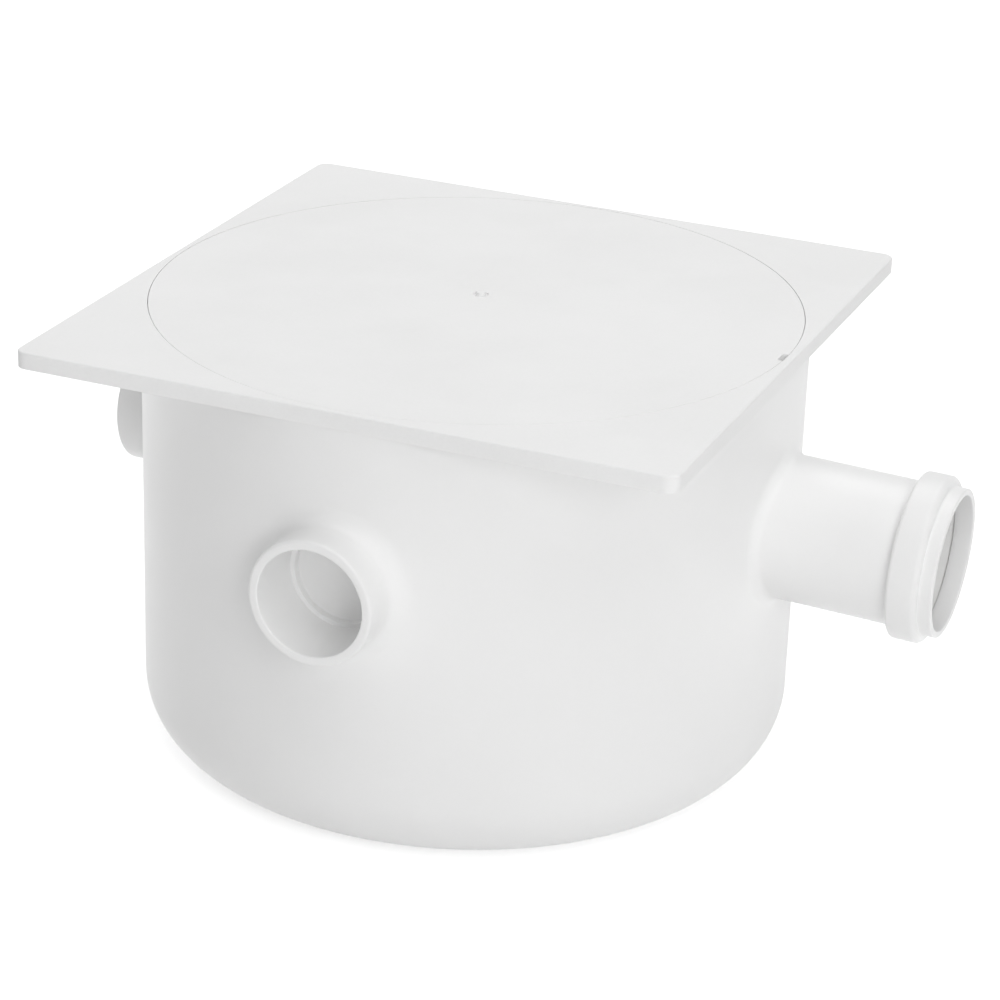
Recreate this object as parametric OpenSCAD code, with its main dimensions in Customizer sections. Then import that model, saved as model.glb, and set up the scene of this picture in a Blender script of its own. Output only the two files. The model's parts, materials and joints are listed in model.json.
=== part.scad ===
// Gully trap: a round moulded drain box with three inlet sockets, a ring-seal outlet,
// a square cover frame with a round blank lid, and a dip tee inside that holds the water seal.
// Origin at the centre of the flat base, +Z up, outlet towards +X. All lengths in millimetres.

/* [Body] */
// Outer diameter of the round box
body_d = 250; // [244:1:262]
// Height of the box from its base to its rim
body_h = 168.5; // [164:0.5:190]
// Thickness of the round side wall
wall_t = 3; // [2.6:0.1:3.6]
// Thickness of the floor
floor_t = 3.2; // [2.6:0.1:4]
// Outer radius of the rounded edge round the base
foot_r = 26; // [18:1:32]
// Depth of the axes of the inlets below the rim of the box
port_drop = 59.3; // [57:0.1:62]
// How far the axis of the outlet lies below the axes of the inlets
outlet_drop = 1; // [0:0.1:2]
// Chamfer inside the rim, which leads the cover frame in
rim_chamfer = 0.8; // [0.4:0.1:1.2]

/* [Inlets] */
// Bore of an inlet socket, for a 40 mm drain pipe
inlet_bore = 40.1; // [38:0.1:42]
// Wall of an inlet socket
inlet_wall = 3.6; // [2.8:0.1:4]
// How far an inlet stands out from the box wall
inlet_stub = 16.7; // [14:0.1:20]
// Depth of an inlet socket, from its mouth to the pipe stop
inlet_socket = 26; // [23:0.5:28]
// Length of the pipe stop behind the socket
inlet_stop_len = 4; // [3:0.5:5]
// How far the pipe stop stands in from the socket wall
inlet_stop_lip = 1.8; // [1.2:0.1:2.4]
// Thickness of the membrane that closes an inlet until its pipe is fitted
membrane_t = 1.2; // [0.8:0.1:1.6]
// Wall of the short inlet sleeve inside the box
inlet_sleeve_wall = 2.6; // [2.2:0.1:2.7]
// Rounding of the outer edge of an inlet mouth
inlet_lip_round = 1.2; // [0.6:0.1:1.6]
// Radius of the concave root where an inlet meets the wall
inlet_root_r = 9; // [8:0.5:10]
// How far the concave root reaches out along an inlet
inlet_root_len = 4.5; // [3:0.5:5]

/* [Outlet] */
// Bore of the outlet socket, for a 50 mm drain pipe
outlet_bore = 50.4; // [50.2:0.1:51]
// Wall of the outlet tube
outlet_wall = 1.8; // [1.6:0.1:2.2]
// Length of the outlet, from the box wall to its mouth
outlet_len = 65; // [60:0.5:72]
// Fall of the outlet, in degrees below level
outlet_fall = 2; // [0:0.5:3]
// Depth of the outlet socket, from its mouth to the pipe stop
outlet_socket = 55; // [52:0.5:56]
// Outer diameter of the swollen housing round the seal
housing_d = 62.4; // [61.6:0.1:64]
// Wall of the seal housing
housing_wall = 2.2; // [2:0.1:2.4]
// Length of the seal housing
housing_len = 11.5; // [11:0.1:13]
// Rounding of the back edge of the seal housing
housing_back_r = 1.6; // [0.8:0.1:2]
// Rounding of the front edge of the seal housing
housing_front_r = 2.4; // [1.2:0.1:2.6]
// Length of the plain lip in front of the seal housing
lip_len = 5; // [4:0.1:6]
// Wall of the lip
lip_wall = 2.6; // [2.4:0.1:2.8]
// Chamfer inside the mouths of all the sockets
mouth_chamfer = 0.6; // [0.4:0.1:1.2]
// Radius of the concave root where the outlet meets the wall
outlet_root_r = 8; // [7.5:0.5:9]
// How far the concave root reaches out along the outlet
outlet_root_len = 3; // [2:0.5:3]
// Length of the sleeve inside the box that takes the dip tee
sleeve_len = 16; // [14:0.5:18]
// Wall of that sleeve
sleeve_wall = 3; // [2.4:0.1:3.4]
// Depth of the inner socket, from the end of its sleeve to the stop
inner_socket = 25; // [23:0.5:25.5]

/* [Cover frame] */
// How far each side of the square frame stands out past the box
frame_margin = 0.3; // [0:0.1:6]
// Height of the frame at its edge
frame_h = 6.2; // [6:0.1:8]
// Thickness of the flat top of the frame
deck_t = 2.8; // [2.2:0.1:3.4]
// Thickness of the skirt round the frame
skirt_t = 2.2; // [1.8:0.1:2.6]
// Radius of the four corners of the frame
corner_r = 5; // [4:0.5:8]
// Rounding of the top edge of the frame
edge_round = 0.7; // [0.4:0.1:1]
// Width of the thin band between the lid recess and the box's outside
rim_band = 2.4; // [2:0.1:3]
// Width of the ledge that the lid rests on
ledge_w = 8.5; // [7:0.5:10]
// How deep the frame's spigot reaches into the box
spigot_len = 22; // [12:1:26]
// Wall of the spigot
spigot_t = 2.4; // [2:0.1:3]
// Chamfer at the foot of the spigot
spigot_chamfer = 1; // [0.5:0.1:1.4]
// Thickness of the ribs under the frame's corners
corner_rib_t = 1.8; // [1.4:0.1:2.4]
// Angle between neighbouring corner ribs
corner_rib_step = 16; // [12:1:18]
// How far the corner ribs stop short of the frame's foot
corner_rib_rise = 1; // [0.5:0.1:2]

/* [Lid] */
// Thickness of the lid
lid_t = 2.9; // [2.7:0.1:3.1]
// Rounding of the top edge of the lid
lid_edge_round = 0.2; // [0.2:0.1:0.8]
// Depth of the ring that centres the lid in the frame
centring_h = 6; // [4:0.5:8]
// Thickness of the centring ring and of the ribs
lid_rib_t = 2; // [1.6:0.1:2.4]
// Height of the ribs under the lid
lid_rib_h = 4.5; // [3:0.5:6]
// Number of radial ribs under the lid
lid_ribs = 12; // [6:1:16]
// Radius of the middle ring of the lid
lid_ring_r = 62; // [50:1:76]
// Outer radius of the hub under the lid
lid_hub_r = 14; // [10:1:18]
// Compass angle of the pry slot, seen from above, with the outlet at 0
pry_angle = -1.5; // [-10:0.5:10]
// Length of the pry slot in the edge of the lid
pry_len = 7; // [6:0.5:12]
// Depth of the pry slot, inwards from the edge
pry_depth = 2.1; // [1.8:0.1:3]
// Diameter of the round recess of the moulding gate, near the middle of the lid
gate_d = 6; // [4:0.5:8]
// Place of the gate from the middle of the lid, along the outlet's line
gate_x = -1.5; // [-10:0.5:10]
// Place of the gate from the middle of the lid, across the outlet's line
gate_y = 7; // [-10:0.5:10]
// Depth of the gate's recess
gate_depth = 0.7; // [0.5:0.1:1.2]
// Diameter of the foot of the conical nub in the gate's recess
gate_nub_d = 4.4; // [3:0.2:5]
// How far that nub stands above the face of the lid
gate_nub_rise = 0.8; // [0.2:0.1:1]

/* [Dip tee] */
// Bore of the tee, and of the way through to the outlet
trap_bore = 43; // [41:0.5:43.5]
// Distance of the dip pipe's axis from the axis of the box
dip_x = 74; // [70:1:76]
// Length of the rodding arm, from the dip pipe's axis to its end
rod_arm = 37; // [36:0.5:42]
// Depth of the water seal, from the outlet's lowest point to the dip pipe's mouth
water_seal = 54; // [50:1:58]
// Thickness of the collar that stops the tee against its sleeve
collar_t = 3; // [2:0.5:3]
// Distance of the middle of the seal groove from the collar
trap_groove_at = 14; // [11:0.5:15]

/* [Cleaning plug] */
// Length of the plug inside the rodding arm
plug_len = 11; // [10:0.5:13]
// Thickness of the plug's flange
plug_flange_t = 2.6; // [2:0.1:3.2]
// Distance of the middle of the seal groove from the plug's flange
plug_groove_at = 5; // [4.5:0.5:6]
// Wall of the hollow plug under its seal groove
plug_wall = 2; // [1.6:0.1:2.4]
// Width of the grip across the plug
grip_w = 34; // [28:1:38]
// Thickness of the grip
grip_t = 4; // [3:0.5:5]
// Height of the grip
grip_h = 11; // [8:0.5:13]

/* [Seals and fits] */
// Depth of the grooves of the two round seals
groove_depth = 1.8; // [1.6:0.1:2]
// Width of the grooves of the two round seals
groove_w = 3; // [2.6:0.1:3.4]
// Gap between a round seal and the walls it sits between
seal_gap = 0.05; // [0.02:0.01:0.1]
// Gap round the outlet's lip seal in its housing
housing_gap = 0.1; // [0.05:0.01:0.15]
// Thickness of the heel of the outlet's lip seal
heel_t = 1.9; // [1.4:0.1:2.2]
// Gap between the lid and its recess, all round
lid_gap = 0.2; // [0.15:0.05:0.6]
// Gap between the lid's centring ring and the ledge
centring_gap = 0.6; // [0.3:0.1:1]
// Gap between the frame's spigot and the box
spigot_gap = 0.3; // [0.2:0.05:0.6]
// Gap between the tee's spigot and its sleeve
trap_gap = 0.2; // [0.1:0.05:0.3]
// Gap between the plug and the rodding arm
plug_gap = 0.2; // [0.1:0.05:0.3]
// Gap left at the end of the tee's spigot
end_gap = 0.4; // [0.2:0.1:0.8]

/* [Hidden] */
$fn = 96;

// How far a cutting or joining shape runs past the face that it meets
over = 1;
// Compass angles of the inlets, seen from above, with the outlet at 0
inlet_angles = [-90, 90, 180];
white = [0.95, 0.95, 0.94];
inner_white = [0.9, 0.9, 0.88];
seal_grey = [0.72, 0.72, 0.7];

body_r = body_d / 2;
cavity_r = body_r - wall_t;
inlet_z = body_h - port_drop;
outlet_z = inlet_z - outlet_drop;

inlet_bore_r = inlet_bore / 2;
inlet_r = inlet_bore_r + inlet_wall;
inlet_sleeve_r = inlet_bore_r + inlet_sleeve_wall;

outlet_bore_r = outlet_bore / 2;
outlet_r = outlet_bore_r + outlet_wall;
housing_r = housing_d / 2;
housing_front = outlet_len - lip_len;
housing_back = housing_front - housing_len;
housing_cave_r = housing_r - housing_wall;
cave_back = housing_back + housing_wall;
cave_front = housing_front - housing_wall;
sleeve_end = cavity_r - sleeve_len;
sleeve_r = outlet_bore_r + sleeve_wall;
trap_bore_r = trap_bore / 2;

top_z = body_h + frame_h;
frame_w = body_d + 2 * frame_margin;
recess_r = body_r - rim_band;
ledge_r = recess_r - ledge_w;
ledge_z = top_z - lid_t;
spigot_r = cavity_r - spigot_gap;

lid_r = recess_r - lid_gap;
centring_r = ledge_r - centring_gap;

tee_r = outlet_bore_r - trap_gap;
tee_end = sleeve_end + inner_socket - end_gap;
arm_end = dip_x - rod_arm;
dip_foot = outlet_z - trap_bore_r - water_seal;
plug_r = trap_bore_r - plug_gap;

// Square with rounded corners, centred
module rounded_square(side, radius) {
    square([side - 2 * radius, side], center = true);
    square([side, side - 2 * radius], center = true);
    for (x = [-1, 1], y = [-1, 1])
        translate([x, y] * (side / 2 - radius)) circle(radius);
}

// Half section of a round bar from its axis to r, up to h, with its top edge rounded
module rounded_half(r, h, edge) {
    square([r - edge, h]);
    square([r, h - edge]);
    translate([r - edge, h - edge]) circle(edge);
}

// Half section of a round box from its axis to r, with its lower edge rounded
module footed_half(r, h, foot) {
    square([r - foot, h]);
    translate([0, foot]) square([r, h - foot]);
    translate([r - foot, foot]) intersection() {
        circle(foot);
        translate([0, -foot]) square(foot);
    }
}

// Half section of a concave root that opens from a tube of radius r to the wall at height 0
module root_half(r, root_r, reach) {
    difference() {
        translate([0, reach - root_r]) square([r + root_r, root_r]);
        translate([r + root_r, reach]) circle(root_r);
    }
}

// Turns a port's own frame, with z along its axis and 0 at the box's outside, into place
module at_port(z, angle, fall) {
    translate([0, 0, z])
        rotate([0, 0, angle])
            translate([body_r, 0, 0])
                rotate([0, 90 + fall, 0])
                    children();
}

module at_inlets() {
    for (a = inlet_angles) at_port(inlet_z, a, 0) children();
}

module at_outlet() {
    at_port(outlet_z, 0, outlet_fall) children();
}

// Level bar on the axis of the outlet's sleeve, from x0 to x1
module level_bar(x0, x1, r) {
    translate([x0, 0, outlet_z]) rotate([0, 90, 0]) cylinder(h = x1 - x0, r = r);
}

// Conical cut that chamfers the mouth of a bore whose mouth is at height z
module mouth_cut(r, z) {
    translate([0, 0, z - mouth_chamfer])
        cylinder(h = mouth_chamfer + over, r1 = r, r2 = r + mouth_chamfer + over);
}

module inlet_outside() {
    rotate_extrude() {
        rounded_half(inlet_r, inlet_stub, inlet_lip_round);
        root_half(inlet_r, inlet_root_r, inlet_root_len);
    }
}

module inlet_inside() {
    inner_end = inlet_stub - inlet_socket - inlet_stop_len;
    translate([0, 0, inner_end]) cylinder(h = -inner_end - wall_t / 2, r = inlet_sleeve_r);
}

module inlet_hollow() {
    socket_end = inlet_stub - inlet_socket;
    translate([0, 0, socket_end]) cylinder(h = inlet_socket + over, r = inlet_bore_r);
    translate([0, 0, socket_end - inlet_stop_len + membrane_t])
        cylinder(h = inlet_stop_len - membrane_t + over, r = inlet_bore_r - inlet_stop_lip);
    mouth_cut(inlet_bore_r, inlet_stub);
}

// Rounded swelling that houses the seal, as a half section
module housing_half() {
    translate([0, housing_back]) difference() {
        square([housing_r, housing_len]);
        translate([housing_r - housing_back_r, 0]) difference() {
            translate([0, -over]) square([housing_back_r + over, housing_back_r + over]);
            translate([0, housing_back_r]) circle(housing_back_r);
        }
        translate([housing_r - housing_front_r, housing_len - housing_front_r]) difference() {
            square([housing_front_r + over, housing_front_r + over]);
            circle(housing_front_r);
        }
    }
}

module outlet_outside() {
    rotate_extrude() {
        translate([0, -wall_t / 2]) square([outlet_r, housing_back + wall_t]);
        root_half(outlet_r, outlet_root_r, outlet_root_len);
        housing_half();
        rounded_half(outlet_bore_r + lip_wall, outlet_len, lip_wall / 4);
    }
}

module outlet_hollow() {
    translate([0, 0, outlet_len - outlet_socket]) cylinder(h = outlet_socket + over, r = outlet_bore_r);
    cylinder(h = outlet_len - outlet_socket + over, r = trap_bore_r);
    translate([0, 0, cave_back]) cylinder(h = cave_front - cave_back, r = housing_cave_r);
    mouth_cut(outlet_bore_r, outlet_len);
}

module body() {
    color(white) difference() {
        union() {
            difference() {
                union() {
                    rotate_extrude() footed_half(body_r, body_h, foot_r);
                    at_inlets() inlet_outside();
                    at_outlet() outlet_outside();
                }
                translate([0, 0, floor_t])
                    rotate_extrude() footed_half(cavity_r, body_h, foot_r - wall_t);
            }
            at_inlets() inlet_inside();
            level_bar(sleeve_end, body_r - wall_t / 2, sleeve_r);
        }
        at_inlets() inlet_hollow();
        at_outlet() outlet_hollow();
        level_bar(sleeve_end - over, sleeve_end + inner_socket, outlet_bore_r);
        level_bar(sleeve_end, body_r + over, trap_bore_r);
        translate([0, 0, body_h - rim_chamfer])
            cylinder(h = rim_chamfer + over, r1 = cavity_r, r2 = cavity_r + rim_chamfer + over);
    }
}

// Two-lipped ring that grips a pipe, drawn as it lies with a pipe in the socket
module outlet_seal() {
    back = cave_back + housing_gap;
    front = cave_front - housing_gap;
    heel_r = housing_cave_r - housing_gap;
    lip_root_r = heel_r - heel_t;
    half = (front - back) / 2;
    color(seal_grey) at_outlet() rotate_extrude() {
        translate([lip_root_r, back]) square([heel_t, front - back]);
        for (z = [back, back + half])
            polygon([
                [lip_root_r + heel_t / 2, z],
                [lip_root_r + heel_t / 2, z + half],
                [lip_root_r, z + half],
                [outlet_bore_r, z + half / 2],
                [outlet_bore_r, z + half / 4],
                [lip_root_r, z],
            ]);
    }
}

// Square slab with rounded corners and a rounded top edge
module frame_slab() {
    span = frame_w - 2 * corner_r;
    translate([0, 0, body_h]) {
        for (a = [0, 90]) rotate([90, 0, a]) linear_extrude(span, center = true) {
            for (m = [0, 1]) mirror([m, 0]) rounded_half(frame_w / 2, frame_h, edge_round);
        }
        for (a = [0:90:270]) rotate([0, 0, a])
            translate([span / 2, span / 2, 0])
                rotate_extrude(angle = 90) rounded_half(corner_r, frame_h, edge_round);
    }
}

module frame_spigot() {
    inner_r = spigot_r - spigot_t;
    foot_z = body_h - spigot_len;
    rotate_extrude() polygon([
        [inner_r, foot_z],
        [spigot_r - spigot_chamfer, foot_z],
        [spigot_r, foot_z + spigot_chamfer],
        [spigot_r, body_h],
        [recess_r, body_h],
        [recess_r, body_h + deck_t / 2],
        [inner_r, body_h + deck_t / 2],
    ]);
}

module corner_ribs() {
    intersection() {
        translate([0, 0, body_h + corner_rib_rise])
            linear_extrude(frame_h - deck_t / 2 - corner_rib_rise)
                rounded_square(frame_w - skirt_t, corner_r - skirt_t / 2);
        for (c = [45:90:315], k = [-1:1])
            rotate([0, 0, c + k * corner_rib_step])
                translate([recess_r, -corner_rib_t / 2, body_h])
                    cube([frame_w / 2, corner_rib_t, frame_h]);
    }
}

module frame() {
    color(white) difference() {
        union() {
            difference() {
                frame_slab();
                translate([0, 0, body_h - over])
                    linear_extrude(frame_h - deck_t + over)
                        rounded_square(frame_w - 2 * skirt_t, corner_r - skirt_t);
            }
            translate([0, 0, body_h]) cylinder(h = frame_h - deck_t / 2, r = body_r);
            corner_ribs();
            frame_spigot();
        }
        translate([0, 0, ledge_z]) cylinder(h = lid_t + over, r = recess_r);
        translate([0, 0, body_h - spigot_len - over]) cylinder(h = spigot_len + over, r = spigot_r - spigot_t);
        translate([0, 0, body_h - over]) cylinder(h = frame_h + over, r = ledge_r);
    }
}

// Half section of the lid: a flat disc with a rounded top edge and three rings below
module lid_half() {
    translate([0, -lid_t]) rounded_half(lid_r, lid_t, lid_edge_round);
    translate([centring_r - lid_rib_t, -lid_t - centring_h]) square([lid_rib_t, centring_h + lid_t / 2]);
    for (r = [lid_ring_r, lid_hub_r])
        translate([r - lid_rib_t, -lid_t - lid_rib_h]) square([lid_rib_t, lid_rib_h + lid_t / 2]);
}

module lid_ribs_below() {
    for (k = [0:lid_ribs - 1])
        rotate([0, 0, (k + 0.5) * 360 / lid_ribs])
            translate([lid_hub_r - lid_rib_t / 2, -lid_rib_t / 2, -lid_t - lid_rib_h])
                cube([centring_r - lid_hub_r, lid_rib_t, lid_rib_h + lid_t / 2]);
}

module pry_slot() {
    inner_x = lid_r - pry_depth;
    bevel = pry_depth / 3;
    translate([0, 0, -lid_t - over]) linear_extrude(lid_t + 2 * over)
        polygon([[inner_x + bevel, -pry_len / 2], [lid_r + over, -pry_len / 2],
                 [lid_r + over, pry_len / 2], [inner_x + bevel, pry_len / 2],
                 [inner_x, pry_len / 2 - bevel], [inner_x, -pry_len / 2 + bevel]]);
}

// Conical nub that the moulding gate leaves, with its foot in the floor of the gate's recess
module gate_nub() {
    nub_h = gate_depth + gate_nub_rise;
    translate([gate_x, gate_y, -gate_depth]) {
        cylinder(h = nub_h, d1 = gate_nub_d, d2 = gate_nub_d - nub_h);
        translate([0, 0, -lid_t / 4]) cylinder(h = lid_t / 4, d = gate_nub_d);
    }
}

module lid() {
    color(white) translate([0, 0, top_z]) {
        difference() {
            union() {
                rotate([0, 0, 90 / lid_ribs]) rotate_extrude() lid_half();
                lid_ribs_below();
            }
            rotate([0, 0, pry_angle]) pry_slot();
            translate([gate_x, gate_y, -gate_depth]) cylinder(h = gate_depth + over, d = gate_d);
        }
        gate_nub();
    }
}

// Groove that takes a round seal, cut into a level bar of radius r
module seal_groove(x, r) {
    translate([x - groove_w / 2, 0, outlet_z]) rotate([0, 90, 0]) difference() {
        cylinder(h = groove_w, r = r + over);
        translate([0, 0, -over]) cylinder(h = groove_w + 2 * over, r = r - groove_depth);
    }
}

module round_seal(x, inner_r, outer_r) {
    low = inner_r + seal_gap;
    high = outer_r - seal_gap;
    translate([x, 0, outlet_z]) rotate([0, 90, 0])
        rotate_extrude() translate([(low + high) / 2, 0]) circle(d = high - low);
}

module dip_tee() {
    color(inner_white) difference() {
        union() {
            level_bar(arm_end, tee_end, tee_r);
            level_bar(sleeve_end - collar_t, sleeve_end, sleeve_r);
            translate([dip_x, 0, dip_foot]) cylinder(h = outlet_z - dip_foot, r = tee_r);
        }
        level_bar(arm_end - over, tee_end + over, trap_bore_r);
        translate([dip_x, 0, dip_foot - over]) cylinder(h = outlet_z - dip_foot + over, r = trap_bore_r);
        seal_groove(sleeve_end + trap_groove_at, tee_r);
    }
}

module tee_seal() {
    color(seal_grey) round_seal(sleeve_end + trap_groove_at, tee_r - groove_depth, outlet_bore_r);
}

module cleaning_plug() {
    color(inner_white) difference() {
        union() {
            level_bar(arm_end - plug_flange_t, arm_end, tee_r);
            level_bar(arm_end - over, arm_end + plug_len, plug_r);
            translate([arm_end - plug_flange_t - grip_h, 0, outlet_z]) plug_grip();
        }
        level_bar(arm_end, arm_end + plug_len + over, plug_r - groove_depth - plug_wall);
        seal_groove(arm_end + plug_groove_at, plug_r);
    }
}

// Upright bar with rounded outer corners, pinched to turn and pull the plug
module plug_grip() {
    grip_r = grip_h / 2;
    rotate([90, 0, 0]) linear_extrude(grip_t, center = true) {
        translate([0, grip_r - grip_w / 2]) square([grip_h + over, grip_w - 2 * grip_r]);
        translate([grip_r, -grip_w / 2]) square([grip_r + over, grip_w]);
        for (y = [-1, 1]) translate([grip_r, y * (grip_w / 2 - grip_r)]) circle(grip_r);
    }
}

module plug_seal() {
    color(seal_grey) round_seal(arm_end + plug_groove_at, plug_r - groove_depth, trap_bore_r);
}

body();
outlet_seal();
frame();
lid();
dip_tee();
tee_seal();
cleaning_plug();
plug_seal();
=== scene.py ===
import json
import math
import bmesh
import bpy
import numpy as np
from mathutils import Matrix, Vector


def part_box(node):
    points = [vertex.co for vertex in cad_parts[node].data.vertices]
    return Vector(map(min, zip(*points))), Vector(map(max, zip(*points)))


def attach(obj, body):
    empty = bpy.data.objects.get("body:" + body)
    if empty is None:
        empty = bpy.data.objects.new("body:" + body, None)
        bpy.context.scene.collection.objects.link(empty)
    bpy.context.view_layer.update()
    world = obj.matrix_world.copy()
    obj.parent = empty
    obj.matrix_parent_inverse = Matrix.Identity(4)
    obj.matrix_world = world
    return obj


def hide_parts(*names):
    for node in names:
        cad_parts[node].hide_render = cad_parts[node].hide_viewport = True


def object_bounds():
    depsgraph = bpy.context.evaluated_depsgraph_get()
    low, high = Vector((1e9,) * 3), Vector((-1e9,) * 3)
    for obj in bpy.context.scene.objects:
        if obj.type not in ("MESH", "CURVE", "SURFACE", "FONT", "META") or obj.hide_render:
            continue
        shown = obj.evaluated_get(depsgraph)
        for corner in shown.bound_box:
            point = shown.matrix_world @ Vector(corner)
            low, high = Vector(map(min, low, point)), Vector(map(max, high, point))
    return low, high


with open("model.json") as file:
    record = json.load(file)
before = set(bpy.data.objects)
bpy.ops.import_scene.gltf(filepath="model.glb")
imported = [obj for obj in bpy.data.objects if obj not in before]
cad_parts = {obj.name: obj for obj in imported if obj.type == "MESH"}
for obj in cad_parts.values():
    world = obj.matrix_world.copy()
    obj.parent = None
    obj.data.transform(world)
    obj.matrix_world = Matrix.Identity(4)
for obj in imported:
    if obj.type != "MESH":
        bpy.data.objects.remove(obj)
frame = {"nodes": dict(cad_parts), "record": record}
nodes = frame["nodes"]
cad_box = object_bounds()


# ---------- shader values ----------

class Value:
    """One output of a shader tree. Sums, products and powers of values add the Math nodes that they need."""

    def __init__(self, tree, socket):
        self.tree, self.socket = tree, socket

    def math(self, operation, *values, clamp=False):
        settings = {"operation": operation, "use_clamp": clamp}
        return add_node(self.tree, "ShaderNodeMath", settings, dict(enumerate(values)))

    def __add__(self, other):
        return self.math("ADD", self, other)

    def __radd__(self, other):
        return self.math("ADD", other, self)

    def __sub__(self, other):
        return self.math("SUBTRACT", self, other)

    def __rsub__(self, other):
        return self.math("SUBTRACT", other, self)

    def __mul__(self, other):
        return self.math("MULTIPLY", self, other)

    def __rmul__(self, other):
        return self.math("MULTIPLY", other, self)

    def __truediv__(self, other):
        return self.math("DIVIDE", self, other)

    def __rtruediv__(self, other):
        return self.math("DIVIDE", other, self)

    def __pow__(self, other):
        return self.math("POWER", self, other)

    def clamped(self):
        return self.math("MULTIPLY", self, 1.0, clamp=True)


def add_node(tree, kind, settings=None, inputs=None, output=0):
    """Adds one node of any type: its settings first, then the values or links of its sockets."""
    made = tree.nodes.new(kind)
    for key, value in (settings or {}).items():
        setattr(made, key, value)
    for key, value in (inputs or {}).items():
        if isinstance(value, Value):
            tree.links.new(value.socket, made.inputs[key])
        else:
            made.inputs[key].default_value = value
    return Value(tree, made.outputs[output]) if len(made.outputs) else made


def new_finish(name):
    """An empty material, with its tree, ready for its shader."""
    finish = bpy.data.materials.new(name)
    finish.use_nodes = True
    finish.node_tree.nodes.clear()
    return finish, finish.node_tree


def noise(tree, place, scale, detail, roughness):
    inputs = {"Vector": place, "Scale": scale, "Detail": detail, "Roughness": roughness}
    return add_node(tree, "ShaderNodeTexNoise", None, inputs, "Fac")


CLOUD_SCALE, SPECK_SCALE = 14.0, 900.0     # the melt's clouds, and the fine specks in them
SPECK_SHARE = 0.35                         # the specks' strength beside the clouds'
SHADE_SPREAD = 0.10                        # how far the darkest and lightest shades lie from the colour
CLOUD_ROUGHNESS, PEEL_ROUGHNESS = 0.18, 0.12
PEEL_DEPTH = 0.0002
PLASTIC_IOR = 1.49


def moulded_plastic(name, colour, roughness, mottle, grain, grain_size, gloss):
    """White moulded plastic: cloudy colour from the melt, a satin skin, and a fine peel from the mould."""
    finish, tree = new_finish(name)
    place = add_node(tree, "ShaderNodeTexCoord", output="Object")
    cloud = noise(tree, place, CLOUD_SCALE, 4.0, 0.55)
    speck = noise(tree, place, SPECK_SCALE, 2.0, 0.6)
    peel = noise(tree, place, grain_size, 3.0, 0.5)
    shade = ((cloud - 0.5) * mottle + (speck - 0.5) * mottle * SPECK_SHARE + 0.5).clamped()
    dark = tuple(c * (1 - SHADE_SPREAD) for c in colour)
    light = tuple(min(c * (1 + SHADE_SPREAD), 1.0) for c in colour)
    # 6 and 7 are the Mix node's two colours
    tint = add_node(tree, "ShaderNodeMix", {"data_type": "RGBA"},
                    {"Factor": shade, 6: (*dark, 1), 7: (*light, 1)}, 2)
    rough = ((cloud - 0.5) * CLOUD_ROUGHNESS + (peel - 0.5) * PEEL_ROUGHNESS + roughness).clamped()
    bump = add_node(tree, "ShaderNodeBump", None,
                    {"Strength": grain, "Distance": PEEL_DEPTH, "Height": peel}, "Normal")
    surface = add_node(tree, "ShaderNodeBsdfPrincipled", None,
                       {"Base Color": tint, "Roughness": rough, "Normal": bump, "IOR": PLASTIC_IOR,
                        "Specular IOR Level": gloss})
    add_node(tree, "ShaderNodeOutputMaterial", None, {"Surface": surface})
    return finish


def dress(piece, finish):
    """Gives a piece one material all over."""
    piece.data.materials.clear()
    piece.data.materials.append(finish)


body_white = moulded_plastic("body_moulded_white", (0.95, 0.95, 0.945), 0.36, 0.30, 0.12, 420.0, 0.5)
cover_white = moulded_plastic("cover_moulded_white", (0.95, 0.95, 0.945), 0.50, 0.80, 0.16, 620.0, 0.4)
seal_rubber = moulded_plastic("seal_rubber_pale", (0.84, 0.84, 0.83), 0.50, 0.30, 0.20, 900.0, 0.4)

finishes = {"body": body_white, "frame": cover_white, "lid": cover_white, "dip_tee": body_white,
            "cleaning_plug": body_white, "outlet_seal": seal_rubber, "tee_seal": seal_rubber,
            "plug_seal": seal_rubber}
for name, finish in finishes.items():
    dress(nodes[name], finish)


# ---------- the moulded box ----------

MM = 0.001
mounts = {m["name"]: m for m in frame["record"]["mounts"]}
inlet_mount, outlet_mount = mounts["inlet_side"], mounts["outlet_socket"]
body_low, body_high = (Vector(c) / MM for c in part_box("body"))
frame_high = Vector(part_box("frame")[1]) / MM

# All sizes of the box are in millimetres
FRAME_MARGIN = 0.3                         # how far the cover frame stands out past the box
WALL_R = round(frame_high.x - FRAME_MARGIN, 3)
RIM_Z = body_high.z
PORT_Z = inlet_mount["pos_m"][2] / MM
WALL, FLOOR, FOOT = 3.0, 3.2, 26.0         # thickness of wall and floor, and radius of the rounded foot
CAVITY_R = WALL_R - WALL
RIM_ROUND, RIM_CHAMFER = 0.4, 0.8          # the rim's outer rounding and inner chamfer

QUARTERS = 4
AROUND, ACROSS = 36, 24                    # segments between two ports, and across a port's window
WINDOW = 37.0                              # half the width of the square window round a port
WINDOW_RINGS = 9
WINDOW_EASE = 0.85                         # draws the window's rings together towards the wall's grid
ROOT_WEIGHT = 0.72                         # how full the root's curve is: 0.71 would be a quarter ellipse

INLET_COMPASS = (-90, 90, 180)
INLET_SETBACK, INLET_REACH = 7.5, 6.0      # the root's width on the wall, and its length on the tube
INLET_WALL, INLET_SLEEVE_WALL = 3.6, 2.6   # thickness of the socket outside the box, and inside it
INLET_ROUND = 1.2                          # outer rounding of the socket's mouth
INLET_SOCKET = 26.0                        # depth that a pipe goes in
STOP_LENGTH, STOP_STEP, MEMBRANE = 4.0, 1.8, 1.2
INLET_EDGE = 0.3                           # small roundings in the socket
MOUTH_ROUND = 0.5                          # inner rounding of both kinds of mouth

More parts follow.
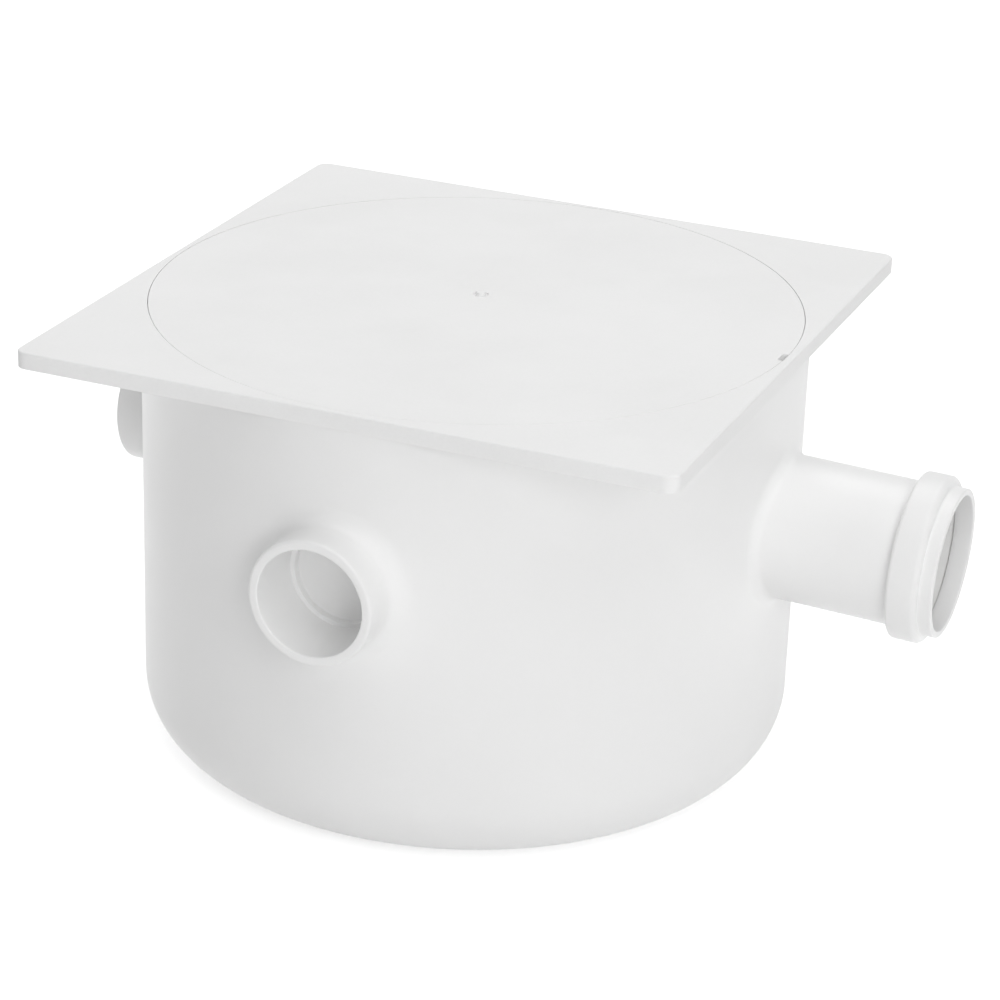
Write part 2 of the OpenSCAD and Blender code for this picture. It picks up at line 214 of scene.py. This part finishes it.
OUTLET_LENGTH, OUTLET_SOCKET = 65.0, 55.0
OUTLET_SETBACK, OUTLET_REACH = 4.5, 4.0
OUTLET_WALL, LIP_WALL, LIP_LENGTH = 1.8, 2.6, 5.0
LIP_FOOT_ROUND, LIP_ROUND = 0.5, 0.65
HOUSE_R, HOUSE_LENGTH = 31.2, 11.5         # outside of the seal's housing
HOUSE_ROOT, HOUSE_BACK_ROUND, HOUSE_FRONT_ROUND = 0.8, 1.6, 2.4
GROOVE_R, GROOVE_WALL, GROOVE_EDGE = 29.0, 2.2, 0.4
WAY_R = 21.5                               # bore between the pipe's socket and the dip tee's socket
SLEEVE_R, SLEEVE_IN, SLEEVE_SOCKET = 28.2, 16.0, 25.0    # the sleeve inside that carries the dip tee
SLEEVE_CHAMFER, SLEEVE_EDGE = 0.8, 0.4
HOUSE_FRONT = OUTLET_LENGTH - LIP_LENGTH
HOUSE_BACK = HOUSE_FRONT - HOUSE_LENGTH
GROOVE_FRONT, GROOVE_BACK = HOUSE_FRONT - GROOVE_WALL, HOUSE_BACK + GROOVE_WALL
SOCKET_FOOT = OUTLET_LENGTH - OUTLET_SOCKET


class Skin:
    """Grids of points that become one closed mesh when they are joined."""

    def __init__(self):
        self.points, self.faces = [], []

    def grid(self, rows, closed=False):
        """Adds rows of points and the quads between them; a closed row joins its end to its start."""
        rows = np.asarray(rows, float)
        n, m = rows.shape[:2]
        base = len(self.points)
        self.points.extend(rows.reshape(-1, 3))
        for i in range(n - 1):
            row = base + i * m
            for j in range(m if closed else m - 1):
                k = (j + 1) % m
                self.faces.append([row + j, row + k, row + m + k, row + m + j])

    def mesh(self, name, crease):
        """Joins the grids where they touch, with all faces outward and edges over the crease angle sharp."""
        made = bpy.data.meshes.new(name)
        made.from_pydata([tuple(p * MM) for p in self.points], [], self.faces)
        work = bmesh.new()
        work.from_mesh(made)
        bmesh.ops.remove_doubles(work, verts=work.verts, dist=2e-6)
        bmesh.ops.dissolve_degenerate(work, edges=work.edges, dist=1e-7)
        bmesh.ops.recalc_face_normals(work, faces=work.faces)
        work.to_mesh(made)
        work.free()
        made.shade_smooth()
        made.set_sharp_from_angle(angle=crease)
        return made


def arc(centre, radius, start, end, steps):
    """Points (r, z) on an arc, with the angles in degrees."""
    turn = np.radians(np.linspace(start, end, steps + 1))
    return [(centre[0] + radius * math.cos(a), centre[1] + radius * math.sin(a)) for a in turn]


def between(a, b, steps):
    """Points (r, z) from a to b, both included."""
    return [tuple(np.array(a) + (np.array(b) - np.array(a)) * k / steps) for k in range(steps + 1)]


class Port:
    """A round way through the wall, with its rings of points at a radius r and a distance t out from the wall."""

    def __init__(self, compass, fall, height):
        self.height = height
        c, s = math.cos(math.radians(fall)), math.sin(math.radians(fall))
        self.cos_fall, self.sin_fall = c, s
        self.turn = np.array(Matrix.Rotation(math.radians(compass), 3, "Z"))
        self.ahead = np.array((c, 0, -s))
        self.up = np.array((s, 0, c))
        edge = np.linspace(-1, 1, ACROSS + 1)[:-1]
        sides = ([(x, -1) for x in edge], [(1, x) for x in edge], [(-x, 1) for x in edge], [(-1, -x) for x in edge])
        self.square = np.array([point for side in sides for point in side])
        self.angle = np.arctan2(self.square[:, 1], self.square[:, 0])

    def at(self, r, t):
        """The ring of points at radius r and distance t out from the wall, where either may change round the ring."""
        a = self.angle
        around = (np.cos(a) * r)[:, None] * np.array((0, 1, 0)) + (np.sin(a) * r)[:, None] * self.up
        along = np.multiply.outer(np.broadcast_to(t, a.shape), self.ahead)
        return (np.array((WALL_R, 0, self.height)) + around + along) @ self.turn.T

    def reach(self, r, wall):
        """How far out along the axis a tube of radius r meets the round wall, all round."""
        a = self.angle
        return (np.sqrt(wall ** 2 - (r * np.cos(a)) ** 2) - WALL_R - r * np.sin(a) * self.sin_fall) / self.cos_fall

    def tube(self, r, start, end, rings):
        """A plain length of tube, as rings from start to end."""
        return [self.at(r, start + (end - start) * f) for f in np.linspace(0, 1, rings)]

    def window(self, r, wall):
        """From the square window in the wall to the ring where a tube of radius r meets it."""
        inner = self.at(r, self.reach(r, wall)) @ self.turn
        bearing = np.arctan2(inner[:, 1], inner[:, 0])
        height = inner[:, 2] - PORT_Z
        rows = []
        for k in range(WINDOW_RINGS + 1):
            f = (k / WINDOW_RINGS) ** WINDOW_EASE
            b = self.square[:, 0] * WINDOW / WALL_R * (1 - f) + bearing * f
            h = self.square[:, 1] * WINDOW * (1 - f) + height * f
            rows.append(np.stack((wall * np.cos(b), wall * np.sin(b), PORT_Z + h), 1) @ self.turn.T)
        return rows

    def root(self, r, setback, reach, wall, steps):
        """The concave root between the wall and the tube, as rings."""
        a = self.at(r + setback, self.reach(r + setback, wall))
        q = self.at(r, self.reach(r, wall))
        b = self.at(r, self.reach(r, wall) + reach)
        rows = []
        for k in range(steps + 1):
            f = k / steps
            x, y, z = (1 - f) ** 2, 2 * ROOT_WEIGHT * f * (1 - f), f ** 2
            rows.append((x * a + y * q + z * b) / (x + y + z))
        return rows


def stretches():
    """The bearings of each window, and of each stretch between two windows, in turn."""
    half = WINDOW / WALL_R
    for k in range(QUARTERS):
        centre = k * math.pi / 2
        yield (np.linspace(centre - half, centre + half, ACROSS + 1),
               np.linspace(centre + half, centre + math.pi / 2 - half, AROUND + 1))


def bearings():
    """All bearings of the wall's grid, once round."""
    return np.concatenate([part[:-1] for pair in stretches() for part in pair])


def wall_rows(radius, low, high):
    """The round wall outside the windows, as one grid for each stretch."""
    window_z = np.linspace(PORT_Z - WINDOW, PORT_Z + WINDOW, ACROSS + 1)

    def ring(angles, z):
        return [(radius * math.cos(a), radius * math.sin(a), z) for a in angles]

    yield [ring(bearings(), z) for z in np.linspace(low, window_z[0], 15)], True
    yield [ring(bearings(), z) for z in np.linspace(window_z[-1], high, 7)], True
    for _, stretch in stretches():
        yield [ring(stretch, z) for z in window_z], False


def turned(profile):
    """Rings round the upright axis for a profile of (r, z) points, at the wall's own bearings."""
    return [[(r * math.cos(a), r * math.sin(a), z) for a in bearings()] for r, z in profile]


def add_shell(skin):
    """The round box itself: wall, foot and floor, outside and inside, and the rim."""
    for radius, trim in ((WALL_R, RIM_ROUND), (CAVITY_R, RIM_CHAMFER)):
        for rows, closed in wall_rows(radius, FOOT, RIM_Z - trim):
            skin.grid(rows, closed)
    skin.grid(turned(arc((WALL_R - FOOT, FOOT), FOOT, 0, -90, 18)), True)
    skin.grid(turned(between((WALL_R - FOOT, 0), (0.0, 0), 16)), True)
    inner_foot = FOOT - WALL
    skin.grid(turned(between((CAVITY_R, FOOT), (CAVITY_R, FLOOR + inner_foot), 1)), True)
    skin.grid(turned(arc((CAVITY_R - inner_foot, FLOOR + inner_foot), inner_foot, 0, -90, 14)), True)
    skin.grid(turned(between((CAVITY_R - inner_foot, FLOOR), (0.0, FLOOR), 12)), True)
    lip = arc((WALL_R - RIM_ROUND, RIM_Z - RIM_ROUND), RIM_ROUND, 0, 90, 4)
    lip += [(CAVITY_R + RIM_CHAMFER, RIM_Z), (CAVITY_R, RIM_Z - RIM_CHAMFER)]
    skin.grid(turned(lip), True)


def add_inlet(skin, compass):
    """One inlet: its root and socket outside, with the pipe stop and the membrane, and its sleeve inside."""
    bore = inlet_mount["dims"]["r_mm"]
    tube, sleeve, stop_r = bore + INLET_WALL, bore + INLET_SLEEVE_WALL, bore - STOP_STEP
    mouth = -body_low.x - WALL_R
    shoulder = mouth - INLET_SOCKET
    closed_end = shoulder - STOP_LENGTH
    face = closed_end + MEMBRANE
    e = INLET_EDGE

    port = Port(compass, 0.0, PORT_Z)
    skin.grid(port.window(tube + INLET_SETBACK, WALL_R), True)
    skin.grid(port.root(tube, INLET_SETBACK, INLET_REACH, WALL_R, 12), True)
    skin.grid(port.tube(tube, port.reach(tube, WALL_R) + INLET_REACH, mouth - INLET_ROUND, 8), True)

    profile = arc((tube - INLET_ROUND, mouth - INLET_ROUND), INLET_ROUND, 0, 90, 7)
    profile += arc((bore + MOUTH_ROUND, mouth - MOUTH_ROUND), MOUTH_ROUND, 90, 180, 4)
    profile += between((bore, mouth - MOUTH_ROUND), (bore, shoulder + e), 12)[1:]
    profile += arc((bore - e, shoulder + e), e, 0, -90, 3)[1:]
    profile += arc((stop_r + e, shoulder - e), e, 90, 180, 3)
    profile += [(stop_r, face + e)]
    profile += arc((stop_r - e, face + e), e, 0, -90, 3)
    profile += between((stop_r - e, face), (0.0, face), 8)[1:]
    skin.grid([port.at(r, t) for r, t in profile], True)

    skin.grid(port.window(sleeve, CAVITY_R), True)
    skin.grid(port.tube(sleeve, port.reach(sleeve, CAVITY_R), closed_end + e, 5), True)
    profile = arc((sleeve - e, closed_end + e), e, 0, -90, 3)
    profile += between((sleeve - e, closed_end), (0.0, closed_end), 8)[1:]
    skin.grid([port.at(r, t) for r, t in profile], True)


def housing_profile(bore, tube):
    """From the tube over the seal's housing and the lip into the mouth, and past the groove to the pipe stop."""
    lip = bore + LIP_WALL
    edge = INLET_EDGE
    profile = arc((tube + HOUSE_ROOT, HOUSE_BACK - HOUSE_ROOT), HOUSE_ROOT, 180, 90, 4)
    profile += arc((HOUSE_R - HOUSE_BACK_ROUND, HOUSE_BACK + HOUSE_BACK_ROUND), HOUSE_BACK_ROUND, -90, 0, 6)
    profile += arc((HOUSE_R - HOUSE_FRONT_ROUND, HOUSE_FRONT - HOUSE_FRONT_ROUND), HOUSE_FRONT_ROUND, 0, 90, 8)
    profile += arc((lip + LIP_FOOT_ROUND, HOUSE_FRONT + LIP_FOOT_ROUND), LIP_FOOT_ROUND, -90, -180, 3)
    profile += between((lip, HOUSE_FRONT + LIP_FOOT_ROUND), (lip, OUTLET_LENGTH - LIP_ROUND), 4)[1:]
    profile += arc((lip - LIP_ROUND, OUTLET_LENGTH - LIP_ROUND), LIP_ROUND, 0, 90, 4)[1:]
    profile += arc((bore + MOUTH_ROUND, OUTLET_LENGTH - MOUTH_ROUND), MOUTH_ROUND, 90, 180, 4)
    profile += between((bore, OUTLET_LENGTH - MOUTH_ROUND), (bore, GROOVE_FRONT + edge), 4)[1:]
    profile += [(bore + 0.1, GROOVE_FRONT + 0.1), (bore + edge, GROOVE_FRONT)]
    profile += [(GROOVE_R - GROOVE_EDGE, GROOVE_FRONT), (GROOVE_R, GROOVE_FRONT - GROOVE_EDGE)]
    profile += [(GROOVE_R, GROOVE_BACK + GROOVE_EDGE), (GROOVE_R - GROOVE_EDGE, GROOVE_BACK)]
    profile += [(bore + edge, GROOVE_BACK), (bore + 0.1, GROOVE_BACK - 0.1), (bore, GROOVE_BACK - edge)]
    profile += between((bore, GROOVE_BACK - edge), (bore, SOCKET_FOOT), 12)[1:]
    return profile + [(WAY_R, SOCKET_FOOT)]


def add_outlet(skin):
    """The outlet: the falling tube and its seal's housing outside, and the level sleeve inside."""
    bore = outlet_mount["dims"]["r_mm"]
    tube = bore + OUTLET_WALL
    fall = math.degrees(math.asin(-outlet_mount["axis"][2]))
    x, _, z = (v / MM for v in outlet_mount["pos_m"])
    height = z + (x - WALL_R) * math.tan(math.radians(fall))
    port, level = Port(0, fall, height), Port(0, 0.0, height)

    skin.grid(port.window(tube + OUTLET_SETBACK, WALL_R), True)
    skin.grid(port.root(tube, OUTLET_SETBACK, OUTLET_REACH, WALL_R, 10), True)
    skin.grid(port.tube(tube, port.reach(tube, WALL_R) + OUTLET_REACH, HOUSE_BACK - HOUSE_ROOT, 18), True)

    rows = [port.at(r, t) for r, t in housing_profile(bore, tube)]
    sleeve_end = -WALL - SLEEVE_IN
    stop = sleeve_end + SLEEVE_SOCKET
    rows += [level.at(WAY_R, stop)]
    rows += level.tube(bore, stop, sleeve_end + SLEEVE_CHAMFER, 8)
    rows += [level.at(bore + SLEEVE_CHAMFER, sleeve_end), level.at(SLEEVE_R - SLEEVE_EDGE, sleeve_end)]
    rows += level.tube(SLEEVE_R, sleeve_end + SLEEVE_EDGE, level.reach(SLEEVE_R, CAVITY_R), 6)
    skin.grid(rows, True)
    skin.grid(level.window(SLEEVE_R, CAVITY_R), True)


def moulded_box():
    """The whole box as one closed mesh."""
    skin = Skin()
    add_shell(skin)
    for compass in INLET_COMPASS:
        add_inlet(skin, compass)
    add_outlet(skin)
    return skin.mesh("moulded_box", math.radians(32))


box_piece = bpy.data.objects.new("moulded_box", moulded_box())
bpy.context.scene.collection.objects.link(box_piece)
dress(box_piece, body_white)
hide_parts("body")
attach(box_piece, "root")


# ---------- the outlet's seal ring ----------

def faced(direction):
    """The turn that points the z axis along a direction."""
    return Vector(direction).to_track_quat("Z", "Y").to_matrix().to_4x4()


def swept_ring_tree():
    """Sweeps a closed outline, drawn in the piece's own mesh, round a circle."""
    tree = bpy.data.node_groups.new("swept_ring", "GeometryNodeTree")
    for name, kind in (("Outline", "NodeSocketGeometry"), ("Ring radius", "NodeSocketFloat"),
                       ("Steps round", "NodeSocketInt"), ("Finish", "NodeSocketMaterial")):
        tree.interface.new_socket(name, in_out="INPUT", socket_type=kind)
    tree.interface.new_socket("Ring", in_out="OUTPUT", socket_type="NodeSocketGeometry")
    given = tree.nodes.new("NodeGroupInput")
    outline, radius, steps, finish = (Value(tree, given.outputs[k]) for k in range(4))
    circle = add_node(tree, "GeometryNodeCurvePrimitiveCircle", {"mode": "RADIUS"},
                      {"Resolution": steps, "Radius": radius}, "Curve")
    profile = add_node(tree, "GeometryNodeMeshToCurve", None, {"Mesh": outline}, "Curve")
    swept = add_node(tree, "GeometryNodeCurveToMesh", None, {"Curve": circle, "Profile Curve": profile}, "Mesh")
    solid = add_node(tree, "GeometryNodeRealizeInstances", None, {"Geometry": swept}, "Geometry")
    finished = add_node(tree, "GeometryNodeSetMaterial", None, {"Geometry": solid, "Material": finish}, "Geometry")
    add_node(tree, "NodeGroupOutput", None, {"Ring": finished})
    return tree


def swept_ring(name, tree, outline, inputs, axis, foot):
    """A ring with its outline of (r, t) points in metres, t along the axis from its foot."""
    # Curve to Mesh lays the outline's y against the axis, so t is drawn downward
    drawn = bpy.data.meshes.new(name + "_outline")
    count = len(outline)
    drawn.from_pydata([(r - inputs["Ring radius"], -t, 0) for r, t in outline],
                      [(k, (k + 1) % count) for k in range(count)], [])
    piece = bpy.data.objects.new(name, drawn)
    bpy.context.scene.collection.objects.link(piece)
    sweep = piece.modifiers.new("sweep", "NODES")
    sweep.node_group = tree
    for socket in tree.interface.items_tree:
        if socket.in_out == "INPUT" and socket.name in inputs:
            sweep[socket.identifier] = inputs[socket.name]
    depsgraph = bpy.context.evaluated_depsgraph_get()
    made = bpy.data.meshes.new_from_object(piece.evaluated_get(depsgraph), depsgraph=depsgraph)
    piece.modifiers.remove(sweep)
    piece.data = made
    bpy.data.meshes.remove(drawn)
    made.transform(Matrix.Translation(foot) @ faced(axis))
    work = bmesh.new()
    work.from_mesh(made)
    bmesh.ops.recalc_face_normals(work, faces=work.faces)
    work.to_mesh(made)
    work.free()
    made.shade_smooth()
    made.set_sharp_from_angle(angle=math.radians(40))
    return piece


# The mount stands halfway between the socket's foot and the groove's back, so the wall lies behind it
socket_middle = (SOCKET_FOOT + GROOVE_BACK) / 2
seal_foot = Vector(outlet_mount["pos_m"]) - Vector(outlet_mount["axis"]) * socket_middle * MM
# Points (r, t) of the seal's section in millimetres, t out along the axis from the wall
SEAL_OUTLINE = [
    (28.9, 50.8), (28.9, 57.7), (26.3, 57.7), (26.1, 57.6), (25.95, 57.3), (25.8, 56.8), (25.65, 56.2),
    (25.5, 55.6), (25.35, 55.1), (25.25, 54.7), (25.35, 54.3), (26.9, 53.9), (27.0, 53.6), (26.5, 53.0),
    (25.5, 52.4), (25.25, 52.1), (25.25, 51.7), (25.4, 51.5), (26.8, 51.2), (27.0, 50.8),
]
seal_inputs = {"Ring radius": outlet_mount["dims"]["r_mm"] * MM, "Steps round": 96, "Finish": seal_rubber}
seal_ring = swept_ring("outlet_seal_ring", swept_ring_tree(), [(r * MM, t * MM) for r, t in SEAL_OUTLINE],
                       seal_inputs, outlet_mount["axis"], seal_foot)
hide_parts("outlet_seal")
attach(seal_ring, "root")


# ---------- floor, light and camera ----------

def seen_ray(tree):
    """1 for what the camera, a reflection or a clear piece sees, 0 for the light that falls on a surface."""
    path = add_node(tree, "ShaderNodeLightPath", output="Is Camera Ray")
    source = path.socket.node
    others = [Value(tree, source.outputs[key]) for key in ("Is Glossy Ray", "Is Transmission Ray")]
    return (path + others[0] + others[1]).clamped()


def plane(name, size, z):
    """A square that lies flat at height z."""
    mesh = bpy.data.meshes.new(name)
    half = size / 2
    mesh.from_pydata([(-half, -half, z), (half, -half, z), (half, half, z), (-half, half, z)], [], [(0, 1, 2, 3)])
    made = bpy.data.objects.new(name, mesh)
    bpy.context.scene.collection.objects.link(made)
    return made


FLOOR_SIZE, FLOOR_WHITE = 16.0, 0.9
FLOOR_GLOW = 0.76                          # what the floor shines with far from the object
LAMP_GLOW, LAMP_FALL = 0.22, 0.2           # what the lamps add near the object, and how fast it fades
WORLD_LIGHT = 0.3                          # the surround's light on the surfaces; it is seen as 1

floor = plane("studio_floor", FLOOR_SIZE, cad_box[0][2])
floor_finish, tree = new_finish("studio_floor_white")
place = add_node(tree, "ShaderNodeTexCoord", output="Object")
distance_squared = add_node(tree, "ShaderNodeVectorMath", {"operation": "DOT_PRODUCT"},
                            {0: place, 1: place}, "Value")
lamp_share = 1 / ((distance_squared * LAMP_FALL + 1.0) ** 2.0)
matt = add_node(tree, "ShaderNodeBsdfDiffuse", None, {"Color": (FLOOR_WHITE, FLOOR_WHITE, FLOOR_WHITE, 1.0)})
glow = add_node(tree, "ShaderNodeEmission", None,
                {"Color": (1.0, 1.0, 1.0, 1.0), "Strength": seen_ray(tree) * (FLOOR_GLOW - lamp_share * LAMP_GLOW)})
both = add_node(tree, "ShaderNodeAddShader", None, {0: matt, 1: glow})
add_node(tree, "ShaderNodeOutputMaterial", None, {"Surface": both})
dress(floor, floor_finish)

world = bpy.data.worlds.new("studio_surround")
bpy.context.scene.world = world
world.use_nodes = True
world.node_tree.nodes.clear()
surround = seen_ray(world.node_tree)
sky = add_node(world.node_tree, "ShaderNodeBackground", None,
               {"Color": (1.0, 1.0, 1.0, 1.0), "Strength": surround * (1 - WORLD_LIGHT) + WORLD_LIGHT})
add_node(world.node_tree, "ShaderNodeOutputWorld", None, {"Surface": sky})


def soft_lamp(name, place, aim, size, power, glossy):
    """A square soft lamp at a place, aimed at a point; glossy says if reflections show it."""
    lamp = bpy.data.lights.new(name, "AREA")
    lamp.shape = "SQUARE"
    lamp.size = size
    lamp.energy = power
    made = bpy.data.objects.new(name, lamp)
    bpy.context.scene.collection.objects.link(made)
    made.matrix_world = Matrix.Translation(place) @ faced(Vector(place) - Vector(aim))
    made.visible_glossy = glossy


middle = (Vector(cad_box[0]) + Vector(cad_box[1])) / 2


def from_side(azimuth, elevation, distance):
    """A place round the middle of the object: azimuth 0 is in front, at -Y, and 90 is at +X."""
    a, e = math.radians(azimuth), math.radians(elevation)
    return middle + distance * Vector((math.sin(a) * math.cos(e), -math.cos(a) * math.cos(e), math.sin(e)))


LAMP_DISTANCE = 2.2
LOW_LAMP = 40                              # up to this elevation a lamp stays out of reflections
# Name, azimuth, elevation, size and power of each lamp. The lid would mirror the low ones as glare when it
# is seen from behind at a low angle.
LAMPS = [
    ("key_softbox", 30, 15, 0.5, 5.6),
    ("front_softbox", 45, 24, 0.8, 9.0),
    ("overhead_softbox", 45, 65, 1.5, 9.7),
    ("back_softbox", 180, 60, 1.5, 9.5),
    ("back_left_softbox", -135, 55, 1.5, 5.0),
    ("rim_softbox", -118, 16, 0.9, 10.0),
]
for lamp_name, azimuth, elevation, size, power in LAMPS:
    lamp_place = from_side(azimuth, elevation, LAMP_DISTANCE)
    soft_lamp(lamp_name, lamp_place, middle, size, power, elevation > LOW_LAMP)

# The camera's own axes and place, fitted so that the view has the wanted angle
camera_right = Vector((0.92012, 0.39037, 0.03146))
camera_ahead = Vector((-0.34637, 0.84862, -0.39985))
camera_up = camera_right.cross(camera_ahead)
camera_place = (0.43730, -1.04198, 0.58658)

camera_data = bpy.data.cameras.new("studio_camera")
camera_data.sensor_width = 36.0
camera_data.lens = 115.59
camera_data.clip_start = 0.05
camera_data.clip_end = 60.0
camera = bpy.data.objects.new("studio_camera", camera_data)
bpy.context.scene.collection.objects.link(camera)
turn = Matrix((camera_right, camera_up, -camera_ahead)).transposed().to_4x4()
camera.matrix_world = Matrix.Translation(camera_place) @ turn
bpy.context.scene.camera = camera
bpy.context.scene.view_settings.view_transform = "Standard"
